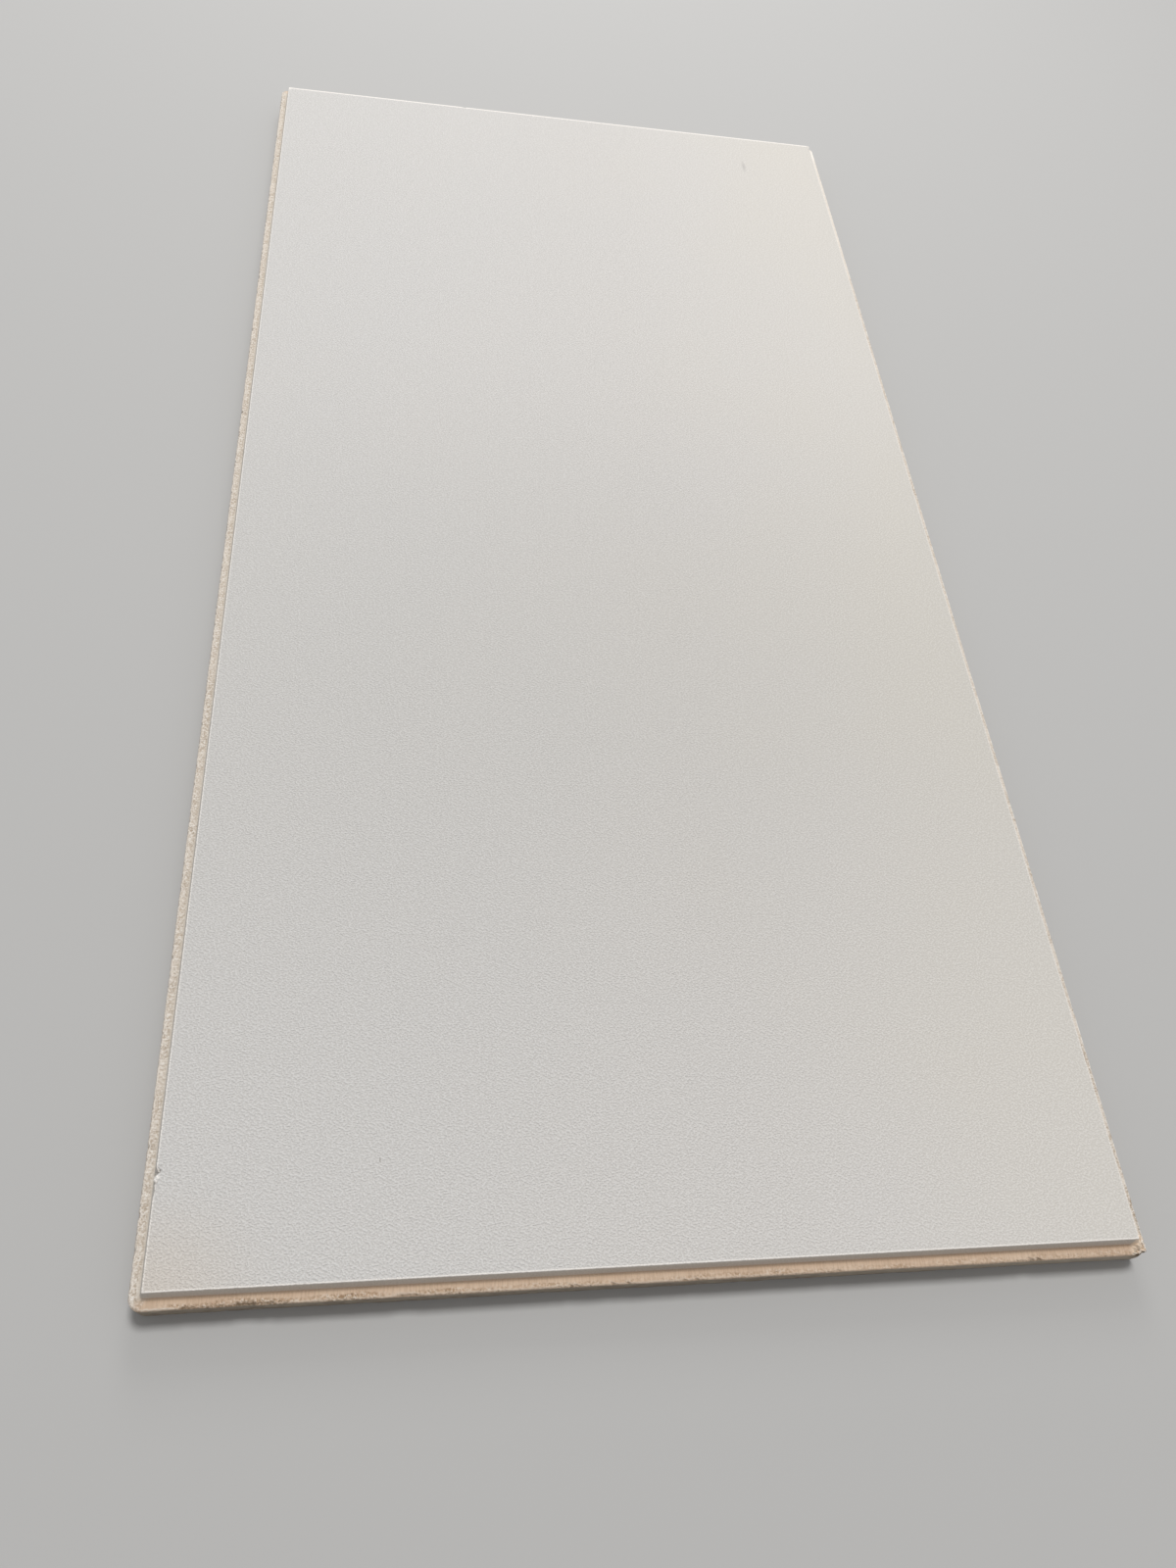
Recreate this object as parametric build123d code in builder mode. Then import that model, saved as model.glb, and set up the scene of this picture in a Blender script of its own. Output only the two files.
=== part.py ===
from build123d import *
import math
import os

# Acoustic ceiling tile: one board of mineral wool with a rebated (tegular) edge all round.
# It lies on its back with the painted face up. The origin is the centre of the back,
# X runs across the tile, Y along it, and Z up out of the painted face. All sizes are in mm.

# The ceiling grid's module that one tile fills, and the play that lets the tile drop in
module_width = 600
module_length = 1200
grid_play = 5

# Section through an edge: the flange is the full-size lower part, and the painted face
# stands above its ledge. The reveal wall between ledge and face leans inward as it rises.
flange_thickness = 20
reveal_drop = 8
ledge_width = 6
reveal_lean = 2

# Small breaks of the long edges
face_arris = 0.4
lip_wear = 0.8
back_arris = 0.8

# Corners in plan: the face's own corner radius, and the flange corners as handling left them.
# Three are rubbed round. The one at +X, -Y is knocked off along a slanted line, and its two
# sizes run along the short edge and along the long edge.
face_corner_radius = 1.2
near_left_radius = 7
far_left_radius = 6
far_right_radius = 4
near_right_break_x = 9
near_right_break_y = 4

# Worked out from the sizes above
tile_width = module_width - grid_play
tile_length = module_length - grid_play
foot_width = tile_width - 2 * ledge_width
foot_length = tile_length - 2 * ledge_width
foot_corner_radius = face_corner_radius + reveal_lean
reveal_angle = math.degrees(math.atan2(reveal_lean, reveal_drop))
rubbed_corners = [
    ((-tile_width / 2, -tile_length / 2), near_left_radius),
    ((-tile_width / 2, tile_length / 2), far_left_radius),
    ((tile_width / 2, tile_length / 2), far_right_radius),
]

with BuildPart() as ceiling_tile:
    # Flange outline: the full rectangle with each corner worn in its own way
    with BuildSketch(Plane.XY):
        Rectangle(tile_width, tile_length)
        for corner, radius in rubbed_corners:
            fillet(vertices().sort_by_distance(corner)[0], radius)
        near_right = vertices().sort_by_distance((tile_width / 2, -tile_length / 2))[0]
        near_edge = edges().sort_by(Axis.Y)[0]
        chamfer(near_right, near_right_break_x, near_right_break_y, reference=near_edge)
    extrude(amount=flange_thickness)

    # Rubbed arrises round the back and round the lip of the ledge
    chamfer(faces().sort_by(Axis.Z)[0].edges(), back_arris)
    chamfer(faces().sort_by(Axis.Z)[-1].edges(), lip_wear)

    # Raised field that carries the painted face, drawn in by the lean of the reveal wall
    with BuildSketch(Plane.XY.offset(flange_thickness)):
        RectangleRounded(foot_width, foot_length, foot_corner_radius)
    extrude(amount=reveal_drop, taper=reveal_angle)

    # Slightly softened arris round the painted face
    chamfer(faces().sort_by(Axis.Z)[-1].edges(), face_arris)

ceiling_tile.part.label = "ceiling_tile"

os.makedirs("parts", exist_ok=True)
export_step(ceiling_tile.part, "parts/ceiling_tile.step")
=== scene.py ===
"""Acoustic ceiling tile: the looks of one painted mineral wool board that lies on its back."""
import math

import bpy
import numpy as np
from mathutils import Euler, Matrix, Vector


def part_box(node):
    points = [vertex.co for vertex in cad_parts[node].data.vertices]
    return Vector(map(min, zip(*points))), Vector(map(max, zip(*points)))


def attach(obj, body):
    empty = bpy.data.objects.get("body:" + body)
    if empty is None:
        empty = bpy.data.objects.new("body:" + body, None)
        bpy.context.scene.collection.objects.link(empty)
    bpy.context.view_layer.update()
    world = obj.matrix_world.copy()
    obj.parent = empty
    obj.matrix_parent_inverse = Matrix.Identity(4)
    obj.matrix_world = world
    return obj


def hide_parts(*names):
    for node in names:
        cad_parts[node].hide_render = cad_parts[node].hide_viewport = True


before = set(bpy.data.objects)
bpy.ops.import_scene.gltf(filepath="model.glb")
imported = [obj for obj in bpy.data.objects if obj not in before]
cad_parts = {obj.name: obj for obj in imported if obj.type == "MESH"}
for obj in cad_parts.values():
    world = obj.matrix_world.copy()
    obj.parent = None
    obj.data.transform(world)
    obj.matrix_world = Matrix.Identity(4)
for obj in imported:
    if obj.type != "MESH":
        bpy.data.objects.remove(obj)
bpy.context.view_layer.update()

MM = 0.001
node_low, node_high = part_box("ceiling_tile")
WIDTH, LENGTH, THICKNESS = ((node_high - node_low) / MM)[:]

# Section of the edge, in mm, as the solid has it
DROP = 8.0
LEDGE = 6.0
LEAN = 2.0
FLANGE = THICKNESS - DROP
REVEAL = LEDGE + LEAN

# Corner radii in plan, in mm, in the order near right, far right, far left, near left.
# The near right corner is nearly square here, because its break is cut afterwards.
FLANGE_RADII = np.array([1.6, 4.0, 6.0, 7.0])
FOOT_RADIUS = 2.6
FACE_RADIUS = 0.6
BREAK_ALONG_NEAR = 11.5
BREAK_ALONG_RIGHT = 2.4
BREAK_SLOPE = 0.35

# Columns of the mesh along the near, right, far and left edges, and round each corner.
# The edges that show best have the closest ones. Only the ledge and its lip use them all:
# other rows use every second one, and the rings inside the faces halve them again.
EDGE_COLUMNS = (1004, 1060, 528, 1440)
CORNER_COLUMNS = 16
RINGS = 5
FIRST_RING_STEP = 4.0
FINE_ZONES = ("ledge", "lip")
# The columns go round the tile anticlockwise, so along these edges X or Y grows (1) or falls (-1)
DIRECTION = (1, 1, -1, -1)

# Damage is listed as (edge number, middle, half length, reach) in mm, with the edges counted from the
# near one to the left one, and the middle measured from the middle of the edge along X or Y.
LIP_CHIPS = (
    (0, -246.0, 25.0, 1.0),
    (0, -265.5, 4.5, 1.3),
    (0, -237.5, 6.5, 1.7),
    (0, -232.7, 2.2, 2.7),
    (0, -225.8, 5.2, 1.5),
    (0, -151.0, 8.0, 1.1),
    (0, -59.7, 1.3, 1.0),
    (0, -35.6, 1.4, 1.1),
    (0, -26.5, 1.0, 0.9),
    (0, 98.0, 4.0, 0.8),
    (0, 213.5, 3.8, 1.0),
    (0, 221.5, 3.4, 1.4),
    (0, 225.6, 2.1, 1.9),
    (3, -549.1, 1.5, 1.1),
    (3, -567.2, 2.0, 0.9),
)
# Dents in the arris of the painted face. The first three lie round the flake.
FACE_DENTS = (
    (3, -528.6, 2.1, 3.0),
    (3, -534.4, 0.8, 1.8),
    (3, -538.2, 4.0, 1.1),
    (2, -104.0, 2.2, 1.3),
    (1, 587.5, 2.5, 1.4),
)
# A flake of white paint left standing between those dents
FLAKE = (3, -532.2, 1.7, 0.45)
# How far the loose wool at the knocked off corner reaches from it along X and Y, and how far in from
# the lip its slope of crumbs starts, in mm
LOOSE_X, LOOSE_Y = 9.5, 10.5
SLOPE_START = 2.6
# Along the near edge, at these places in X: how much of the ledge's outer half is torn, and how thick
# the paint on the lip still is
NEAR_TORN = ((-283, 0.05), (-268, 0.66), (-180, 0.6), (40, 0.46), (160, 0.36), (215, 0.36))
NEAR_LIP_PAINT = ((-276, 0.8), (-268, 0.15), (-229, 0.15), (-220, 0.45), (40, 0.4), (120, 0.1))
# How much of the right edge's ledge is torn, at these places in Y
RIGHT_TORN = ((-520, 0.8), (-420, 0.5), (250, 0.4), (430, 0.2))
# Where the mesh's columns come closer together: edge number, middle and reach in mm
CLOSE_WORK = (
    (0, -245.0, 32.0),
    (0, 218.0, 14.0),
    (0, 291.0, 10.0),
    (1, -591.0, 12.0),
    (3, -533.0, 12.0),
)


# Plan of the tile

def column_run(edge, start, end, count):
    """Places of an edge's columns from start to end, in the direction that goes round the tile.

    Their density is 1 + the sum of bell curves exp(-(distance / reach)^2) about the close work, and
    the columns share out its running total evenly.
    """
    line = np.linspace(start, end, 8 * count)
    density = np.ones_like(line)
    for at_edge, middle, reach in CLOSE_WORK:
        if at_edge == edge:
            density += np.exp(-((line - middle * DIRECTION[edge]) / reach) ** 2)
    total = np.cumsum(density)
    shares = np.linspace(total[0], total[-1], count + 2)[1:-1]
    return np.interp(shares, total, line)


def corner_radii(inset):
    """The four corner radii at an inset: worn at the lip, the foot's at the wall, the face's at its
    arris, and growing by half a millimetre for each further one."""
    if inset <= LEDGE:
        share = inset / LEDGE
        return FLANGE_RADII * (1 - share) + FOOT_RADIUS * share
    if inset <= REVEAL:
        share = (inset - LEDGE) / LEAN
        return np.full(4, FOOT_RADIUS * (1 - share) + FACE_RADIUS * share)
    return np.full(4, FACE_RADIUS + 0.5 * (inset - REVEAL))


def plan_loop(inset):
    """One loop of the tile in plan and its outward directions, both as (columns, 2) arrays.

    Each edge is a straight run between its corners' centres, and each corner is a quarter
    circle of columns about its centre: centre + radius * (outward * cos a + along * sin a).
    """
    radii = corner_radii(inset)
    points, outward = [], []
    along = np.array([1.0, 0.0])
    out = np.array([0.0, -1.0])
    half = np.array([WIDTH, LENGTH]) / 2 - inset
    turn = np.linspace(0, math.pi / 2, CORNER_COLUMNS)[:, None]
    for edge, count in enumerate(EDGE_COLUMNS):
        half_along, half_out = half if edge % 2 == 0 else half[::-1]
        start, end = radii[edge - 1], radii[edge]
        run = column_run(edge, start - half_along, half_along - end, count)
        points.append(run[:, None] * along + half_out * out)
        outward.append(np.repeat(out[None], count, 0))
        centre = (half_along - end) * along + (half_out - end) * out
        fan = out * np.cos(turn) + along * np.sin(turn)
        points.append(centre + end * fan)
        outward.append(fan)
        along, out = np.array([-along[1], along[0]]), along
    return np.concatenate(points), np.concatenate(outward)


RIM, RIM_OUT = plan_loop(0.0)
COLUMNS = len(RIM)
rim_steps = np.linalg.norm(np.roll(RIM, -1, 0) - RIM, axis=1)
PERIMETER = rim_steps.sum()
RIM_S = np.cumsum(rim_steps) - rim_steps
EDGE_OF_COLUMN = np.repeat(np.arange(4), np.array(EDGE_COLUMNS) + CORNER_COLUMNS)


def by_edge(near, right, far, left):
    """One value for each edge of the tile, given to all of its columns."""
    return np.array([near, right, far, left])[EDGE_OF_COLUMN]


# Section of the edge

WALL_SHARES = np.array([0.1, 0.55, 0.93])
# Rows of the section from the face round to the back, as (zone, insets, heights) in mm
SECTION = (
    ("face", REVEAL + np.array([6.0, 2.9, 1.9, 1.1]), THICKNESS - np.array([0.0, 0.0, 0.02, 0.04])),
    ("arris", REVEAL + np.array([0.6, 0.22, 0.02]), THICKNESS - np.array([0.0, 0.06, 0.4])),
    ("wall", REVEAL - LEAN * WALL_SHARES, THICKNESS - DROP * WALL_SHARES),
    ("ledge", np.array([5.7, 4.6, 3.8, 3.2, 2.6, 2.05, 1.5, 1.0]), np.full(8, FLANGE)),
    ("lip", np.array([0.55, 0.2, 0.0, 0.0]), FLANGE - np.array([0.12, 0.45, 1.0, 1.9])),
    ("side", np.zeros(5), np.linspace(16.2, 3.8, 5)),
    ("heel", np.array([0.0, 0.2, 0.6]), np.array([1.6, 0.6, 0.12])),
    ("back", np.array([1.2, 3.5, 8.0]), np.zeros(3)),
)
ZONES = np.concatenate([[zone] * len(insets) for zone, insets, heights in SECTION])
OWN_INSET = np.concatenate([insets for zone, insets, heights in SECTION])
OWN_HEIGHT = np.concatenate([heights for zone, insets, heights in SECTION])
ROW_STEPS = np.hypot(np.diff(OWN_INSET), np.diff(OWN_HEIGHT))
# The unrolled edge: lengths down the section from its first row, and both lengths at every point
DOWN = np.concatenate([[0.0], np.cumsum(ROW_STEPS)])
S, V = np.meshgrid(RIM_S, DOWN)


def among(*names):
    """True at the section's rows that lie in these zones, as a column to set against all columns."""
    return np.isin(ZONES, names)[:, None]


def smooth_step(x, low, high):
    """0 below low and 1 above high, with the cubic 3t^2 - 2t^3 between."""
    t = np.clip((x - low) / (high - low), 0, 1)
    return t * t * (3 - 2 * t)


plans = [plan_loop(inset) for inset in OWN_INSET]
PLAN = np.stack([points for points, outward in plans])
OUTWARD = np.stack([outward for points, outward in plans])
# Distance from the knocked off corner, as a share of the loose wool's reach, and where it was shaken
FROM_CORNER = np.maximum((WIDTH / 2 - PLAN[..., 0]) / LOOSE_X, (LENGTH / 2 + PLAN[..., 1]) / LOOSE_Y)
SHAKEN = 1 - smooth_step(FROM_CORNER, 0.8, 1.05)


# Noise on the unrolled edge

def band_noise(seed, along_mm, across_mm, s=S, v=V):
    """Relief of unit spread on the unrolled edge: s along it and v across it, in mm.

    White noise on a grid of 0.5 mm is filtered to wavelengths about along_mm by across_mm,
    by the difference of two bell curves in frequency, and read between its grid points.
    """
    cell = 0.5
    cells = (int(round(PERIMETER / cell)), 128)
    white = np.random.default_rng(seed).standard_normal(cells)
    f_s = np.fft.fftfreq(cells[0], cell)[:, None] * along_mm
    f_v = np.fft.rfftfreq(cells[1], cell)[None] * across_mm
    f = f_s ** 2 + f_v ** 2
    keep = np.exp(-f * 0.9) - np.exp(-f * 3.6)
    field = np.fft.irfft2(np.fft.rfft2(white) * keep, cells)
    field /= field.std()
    x = (s / PERIMETER * cells[0]) % cells[0]
    y = (v / cell) % cells[1]
    i, j = x.astype(int) % cells[0], y.astype(int) % cells[1]
    p, q = x - np.floor(x), y - np.floor(y)
    right, up = (i + 1) % cells[0], (j + 1) % cells[1]
    low = field[i, j] * (1 - p) + field[right, j] * p
    high = field[i, up] * (1 - p) + field[right, up] * p
    return low * (1 - q) + high * q


def line_noise(seed, along_mm):
    """The same relief read along one line of the edge, for what has one value at each column."""
    return band_noise(seed, along_mm, 40, RIM_S, 0 * RIM_S)


# Wear of the edge. Depths, lengths and widths are in mm, and shares go from 0 to 1.

def scoops(marks):
    """Depth at each column of the listed damage: a half ellipse of each half length and reach."""
    depth = np.zeros(COLUMNS)
    for edge, middle, half, reach in marks:
        along_axis = edge % 2
        straight = (EDGE_OF_COLUMN == edge) & (np.abs(RIM_OUT[:, 1 - along_axis]) > 0.99)
        inside = np.clip(1 - ((RIM[:, along_axis] - middle) / half) ** 2, 0, None)
        depth = np.maximum(depth, np.where(straight, reach * np.sqrt(inside), 0))
    return depth


def lip_wear():
    """How far in from its sharp edge the lip is worn away at each column: what handling rubbed off, with
    its roughness, nicks where the noise is above 1.5, a gnawed left edge, and the listed chips."""
    rough = 0.09 * line_noise(21, 1.8) + 0.12 * line_noise(22, 5.5) + 0.10 * line_noise(23, 30)
    nicks = 0.7 * np.clip(line_noise(24, 8) - 1.5, 0, None)
    rubbed = np.clip(by_edge(0.42, 0.26, 0.26, 0.55) + rough, 0.06, None)
    ragged = 1 + 0.12 * line_noise(25, 3.5)
    gnawed = by_edge(0, 0, 0, 0.35) * np.clip(line_noise(26, 3.0) + 0.3, 0, None)
    return rubbed + nicks + gnawed + scoops(LIP_CHIPS) * ragged


def arris_wear():
    """How far the face's arris is rubbed or dented back from the corner of face and wall."""
    rub = 0.22 + 0.07 * line_noise(31, 6) + 0.4 * np.clip(line_noise(32, 4) - 2.0, 0, None)
    return np.maximum(rub, scoops(FACE_DENTS))


def worn_corner(inset, height, corner_inset, corner_height, wear, slope):
    """Cuts a corner off along a line that starts wear in from it and falls by slope.

    A point with excess e over the line moves in by e / 2 and down by slope * e / 2, onto it.
    """
    reach = (inset - corner_inset) + (corner_height - height) / slope
    excess = np.clip(wear - reach, 0, None)
    return inset + excess / 2, height - slope * excess / 2, excess


def torn_ledge(inset, height):
    """Tears the outer half of the ledge, and shakes the wool loose at the knocked off corner.

    Torn is the share that is open, in patches, and it fades over the last 1.2 mm of its reach. The
    height gains torn * (grains + swells + lumps - pits). At the corner, crumbs fill the step up to a
    slope that climbs to 0.85 of the drop at the wall. Returns also how torn it is, and how raw in its
    pits.
    """
    near_share = np.interp(PLAN[..., 0], *np.transpose(NEAR_TORN))
    right_share = np.interp(PLAN[..., 1], *np.transpose(RIGHT_TORN))
    share = np.choose(EDGE_OF_COLUMN, (near_share, right_share, 0.62, 0.6))
    reach = by_edge(3.0, 2.4, 3.0, 5.2) + 0.35 * band_noise(41, 30, 30) + 5 * SHAKEN
    uneven = by_edge(0.3, 0.3, 0.3, 0.12)
    patches = share * (1 + uneven * band_noise(45, 25, 45)) + 0.5 * SHAKEN
    torn = smooth_step(-inset, -reach - 0.6, -reach + 0.6) * np.clip(patches, 0, 1)
    torn = torn * among("ledge", "lip", "wall") * (1 - 0.7 * SHAKEN * smooth_step(inset, 2.8, 4.2))

    on_ledge = among("ledge", "lip")
    pits = np.clip(-band_noise(42, 2.6, 1.8) - 0.9, 0, 1.2)
    grains, swells = 0.05 * band_noise(43, 1.8, 1.8), 0.07 * band_noise(44, 7, 5)
    lumps = 0.5 * band_noise(46, 2.6, 2.2) * SHAKEN
    height = height + torn * (grains + swells + lumps - 0.35 * pits) * on_ledge
    raw = np.clip(pits, 0, 0.7) * torn * on_ledge * by_edge(1, 1, 1, 0.25)

    slope = FLANGE + 0.85 * DROP * (inset - SLOPE_START) / (REVEAL - SLOPE_START) + lumps
    height = height + SHAKEN * np.clip(slope - height, 0, None) * among("wall", "ledge")
    inset = inset + 0.5 * lumps * among("wall")
    return inset, height, torn, raw


def milled_side(inset):
    """Cuts the side back to milled wool: thin layers that run along it, pits, and broad waves. Below
    the knocked off corner a bell curve 1.5 mm deep is scooped out. Returns also where it is scooped."""
    layers = 0.10 * band_noise(51, 16, 2.4)
    pits = 0.28 * np.clip(-band_noise(52, 4.5, 3.2) - 1.0, 0, 1.2)
    waves = 0.10 * band_noise(53, 120, 60)
    hollow = np.clip(layers + pits + waves + 0.2, 0, None)
    level = OWN_HEIGHT[:, None]
    scoop = 1.5 * SHAKEN * np.exp(-((level - 15.5) / 2.5) ** 2)
    scooped = SHAKEN * smooth_step(level, 9.5, 12.5) * (level < FLANGE - 0.8) * among("side", "lip")
    inset = inset + hollow * (among("side", "heel") + 0.5 * among("lip")) + scoop * among("side")
    return inset, scooped


def rubbed_edges(inset, height):
    """Rubs and chips the lip, dents the face's arris round its flake of paint, and rubs the heel.

    Returns also how far the lip was worn, and by how much the lip and the arris were cut at each point.
    """
    shards = 0.09 * band_noise(61, 2.4, 1.5)
    worn = lip_wear()
    cut = worn_corner(inset, height, 0.0, FLANGE, worn + shards * np.clip(worn, 0, 1.5), 1.5)
    uncut = (inset, height, 0 * height)
    inset, height, lip_cut = np.where(among("ledge", "lip", "side"), cut, uncut)

    dent = arris_wear()
    crumbled = dent * (1 + 0.25 * band_noise(62, 1.8, 1.5) * (dent > 0.8))
    cut = worn_corner(inset, height, REVEAL, THICKNESS, crumbled, 1.2)
    uncut = (inset, height, 0 * height)
    inset, height, arris_cut = np.where(among("face", "arris", "wall"), cut, uncut)
    flake = scoops((FLAKE,)) * (1 + 0.6 * band_noise(63, 1.2, 1.2)) * among("arris")
    inset, height = inset - flake, height - 0.15 * flake

    heel_wear = np.clip(0.9 + 0.4 * line_noise(33, 11), 0.3, None)
    heel_inset, heel_depth, heel_cut = worn_corner(inset, -height, 0.0, 0.0, heel_wear, 1.0)
    inset = np.where(among("heel"), heel_inset, inset)
    height = np.where(among("heel"), -heel_depth, height)
    return inset, height, worn, lip_cut, arris_cut


def gathered_paint_and_highlight(inset, worn, chipped):
    """How thick paint stands at every point, from 0 to 1, and along the arrises a painted highlight too.

    It gathers in bell curves along the near and far arrises, and less along the others, round the flake,
    in a line on the lip that is broken into dashes on the right edge, on the right lip towards the far
    corner, and on the crumbs at the knocked off corner. Chips have lost it.
    """
    on_face = among("arris", "face")
    on_ledge = among("ledge", "lip")
    # Along the arrises the white line is paint gathered there and partly a painted highlight, strongest
    # on the near and far edges
    middle, spread = by_edge(0.4, 0.4, 0.9, 0.4), by_edge(0.26, 0.26, 0.8, 0.26)
    on_rim = 1.6 * np.exp(-((OWN_INSET[:, None] - REVEAL - middle) / spread) ** 2) * on_face
    rim_paint_and_highlight = on_rim * by_edge(1.0, 0.5, 1.0, 0.7)
    beside_flake = smooth_step(scoops((FLAKE,)), 0.1, 0.3) * on_face
    flaked = beside_flake * (OWN_INSET < REVEAL + 2.5)[:, None]

    dashes = smooth_step(line_noise(64, 5), -0.6, 0.4)
    on_lip = np.exp(-((inset - worn - 0.25) / 0.45) ** 2) * on_ledge
    near_paint = np.interp(RIM[:, 0], *np.transpose(NEAR_LIP_PAINT))
    lip_paint = on_lip * np.choose(EDGE_OF_COLUMN, (near_paint, dashes, 0.6, 0.4))
    clean = 0.3 * smooth_step(RIM[:, 1], 300, 430) + 0.5 * smooth_step(RIM[:, 1], 562, 586)
    lip_paint = np.maximum(lip_paint, clean * by_edge(0, 1, 0, 0) * on_ledge)

    crumbs = np.clip(1.2 * band_noise(65, 2.4, 2.2) + 0.1, 0, 1) * SHAKEN * among("wall", "ledge")
    crumbs = crumbs * (1 - 0.85 * smooth_step(inset, 2.0, 3.4))
    gathered = np.maximum(rim_paint_and_highlight, 0.6 * flaked) + lip_paint + crumbs
    return np.clip(gathered, 0, 1) * (1 - 0.9 * chipped)


def worn_section():
    """The worn insets and heights as (rows, columns) arrays, and the traits of the surface there, from
    0 to 1: how raw the wool lies, how torn it is, how thick paint stands with the painted highlight on
    the arrises, and how loose it is."""
    inset = np.repeat(OWN_INSET[:, None], COLUMNS, 1)
    height = np.repeat(OWN_HEIGHT[:, None], COLUMNS, 1)
    inset, height, torn, raw = torn_ledge(inset, height)
    inset, scooped = milled_side(inset)
    inset, height, worn, lip_cut, arris_cut = rubbed_edges(inset, height)

    # Chips lie bare, though those near the right end of the near edge kept some paint
    chipped = smooth_step(lip_cut, 0.9, 1.6)
    bared = 0.9 - by_edge(0.5, 0, 0, 0) * smooth_step(RIM[:, 0], 120, 200)
    raw = np.clip(np.maximum(raw, bared * chipped) + 0.2 * smooth_step(arris_cut, 0.6, 1.4), 0, 1)
    traits = {
        "raw": np.maximum(raw, scooped),
        "torn": torn,
        "bead_and_highlight": gathered_paint_and_highlight(inset, worn, chipped),
        "loose": (1 - smooth_step(FROM_CORNER, 0.95, 1.15)) * among("wall", "ledge", "lip"),
    }
    return inset, height, traits


def break_corner(places):
    """Knocks the near right corner of the flange off along a rough plane. Returns the cut's depth too.

    The plane runs through the two ends of the break at the ledge, and leans outward as it goes down.
    """
    corner = np.array([WIDTH / 2, -LENGTH / 2])
    across = np.array([BREAK_ALONG_RIGHT, -BREAK_ALONG_NEAR, 0.0])
    across /= np.linalg.norm(across)
    lean = np.array([0.0, 0.0, BREAK_SLOPE])
    start = np.array([corner[0] - BREAK_ALONG_NEAR, corner[1], FLANGE])
    rough = 0.35 * band_noise(71, 3.2, 2.5) + 0.22 * band_noise(72, 1.7, 1.6)
    beyond = (places - start) @ (across + lean) + rough
    nearby = np.linalg.norm(places[..., :2] - corner, axis=-1) < 2.5 * BREAK_ALONG_NEAR
    below = places[..., 2] < FLANGE + 0.5
    depth = np.where(nearby & below, np.clip(beyond, 0, None), 0)
    return places - depth[..., None] * across, depth


# Mesh

# Numbers of the board's four materials
PAINT, EDGE_PAINT, WOOL, BACK = range(4)
LOOK_OF = {"face": PAINT, "arris": PAINT, "wall": EDGE_PAINT, "ledge": EDGE_PAINT, "lip": EDGE_PAINT,
           "side": WOOL, "heel": WOOL, "back": BACK}


def strip_between(upper, lower):
    """Faces between two loops, as index arrays: quads where they are alike, or three triangles for each
    pair of columns where one loop has twice the other's."""
    if len(upper) == len(lower):
        return np.stack([upper, lower, np.roll(lower, -1), np.roll(upper, -1)], 1)
    if len(upper) < len(lower):
        p, q = upper, np.roll(upper, -1)
        a, b, c = lower[0::2], lower[1::2], np.roll(lower, -1)[1::2]
        return np.concatenate([np.stack(t, 1) for t in ((p, a, b), (p, b, q), (q, b, c))])
    p, q = lower, np.roll(lower, -1)
    a, b, c = upper[0::2], upper[1::2], np.roll(upper, -1)[1::2]
    return np.concatenate([np.stack(t, 1) for t in ((a, p, b), (p, q, b), (b, q, c))])


def flat_rings(first_inset, level):
    """The rings of a flat face from its rim to its middle: each has half the last one's columns, and its
    inset grows by twice the last step."""
    rings = []
    for ring in range(1, RINGS + 1):
        inset = first_inset + FIRST_RING_STEP * (2 ** ring - 1)
        loop = plan_loop(inset)[0][:: 2 * 2 ** ring]
        rings.append(np.column_stack([loop, np.full(len(loop), level)]))
    return rings


def tile_surface():
    """The whole board as one closed surface: loops from the face's middle out, down and to the back's.

    Point (row, column) = plan loop at the row's own inset - outward * (worn inset - own inset),
    at the worn height. Loops with other numbers of columns meet in triangles. Returns the points, their
    places on the unrolled edge, their traits and loops, and the blocks of faces with their looks.
    """
    inset, height, traits = worn_section()
    plan = PLAN - OUTWARD * (inset - OWN_INSET[:, None])[..., None]
    places, broken = break_corner(np.concatenate([plan, height[..., None]], -1))
    # The broken face is bare wool, with crumbs of paint along its upper rim
    bare = smooth_step(broken, 0.03, 0.3)
    crumbs = smooth_step(broken, 0.02, 0.1) * (1 - smooth_step(broken, 0.5, 0.9))
    crumbs = crumbs * (places[..., 2] > FLANGE - 0.8)
    traits["raw"] = np.maximum(traits["raw"], bare * (1 - crumbs))
    traits["bead_and_highlight"] = np.maximum(traits["bead_and_highlight"] * (1 - bare), 0.9 * crumbs)

    def thinned(rows):
        return [row[::1 if zone in FINE_ZONES else 2] for row, zone in zip(rows, ZONES)]

    face_rings = flat_rings(OWN_INSET[0], THICKNESS)[::-1]
    back_rings = flat_rings(OWN_INSET[-1], 0.0)
    loops = face_rings + thinned(places) + back_rings
    counts = [len(loop) for loop in loops]
    index = [np.arange(end - count, end) for end, count in zip(np.cumsum(counts), counts)]
    strips = [strip_between(a, b) for a, b in zip(index[:-1], index[1:])]
    blocks = [index[0][None]] + strips + [index[-1][::-1][None]]
    looks = [PAINT] * (RINGS + 1) + [LOOK_OF[zone] for zone in ZONES[1:]] + [BACK] * (RINGS + 1)

    on_face, on_back = np.zeros(sum(counts[:RINGS])), np.zeros(sum(counts[-RINGS:]))
    for name, values in traits.items():
        traits[name] = np.concatenate([on_face] + thinned(values) + [on_back])
    along = [RIM_S[:: COLUMNS // count] for count in counts]
    down = np.concatenate([np.zeros(RINGS), DOWN, np.full(RINGS, DOWN[-1])])
    unrolled = np.column_stack([np.concatenate(along), np.repeat(down, counts)])
    loop_of_point = np.repeat(np.arange(len(loops)), counts)
    return np.concatenate(loops), unrolled, traits, loop_of_point, blocks, looks


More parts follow.
